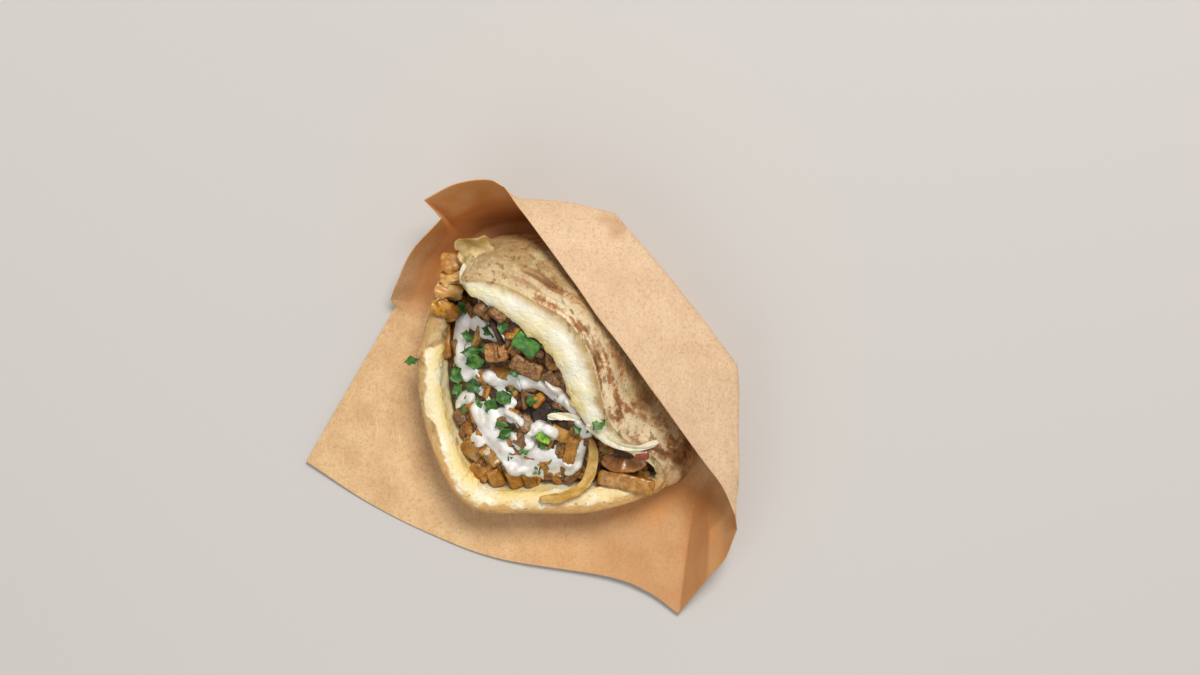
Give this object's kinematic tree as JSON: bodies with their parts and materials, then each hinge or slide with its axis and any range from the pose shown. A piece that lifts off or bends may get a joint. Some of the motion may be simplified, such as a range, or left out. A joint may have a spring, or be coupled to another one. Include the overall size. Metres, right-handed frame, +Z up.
{
  "type": "doner kebab sandwich",
  "caption": "Doner kebab sandwich: thick flatbread pocket with grilled filling, yoghurt sauce and parsley, lying in its open kraft paper bag.",
  "frame": {"origin": "on the underside of the paper bag, where it lies on the table, under the middle of the bread", "axes": "+Z up from the table; the pocket's mouth opens upwards and towards -X and -Y"},
  "size_m": [0.2433, 0.2423, 0.0776],
  "materials": {
    "bread": "matte browned crust and cream crumb",
    "kraft_paper": "matte brown kraft paper",
    "filling": "moist grilled pieces under white sauce",
    "grilled_meat": "browned, slightly oily",
    "green_pepper": "smooth skin, moist cut",
    "fried_onion": "oily and translucent",
    "tomato": "moist skin",
    "grilled_vegetable": "oily, browned at the edges",
    "spring_onion": "fresh and ribbed",
    "white_cabbage": "moist white shreds",
    "pale_leaf": "thin soft leaf",
    "parsley": "fresh chopped leaf"
  },
  "bodies": {
    "root": {"flatbread_pocket": "bread", "kraft_paper_bag": "kraft_paper", "filling_heap": "filling", "meat_cube": "grilled_meat", "meat_slab": "grilled_meat", "green_pepper_chunk": "green_pepper", "onion_arc": "fried_onion", "golden_slice": "fried_onion", "tomato_bit": "tomato", "grilled_strip": "grilled_vegetable", "spring_onion_strip": "spring_onion", "cabbage_shred_left": "white_cabbage", "cabbage_shred_right": "white_cabbage", "side_piece_top": "grilled_vegetable", "side_piece_upper": "grilled_vegetable", "side_piece_middle": "grilled_vegetable", "side_piece_low": "grilled_vegetable", "pale_leaf": "pale_leaf", "parsley_outside": "parsley"}
  },
  "joints": []
}
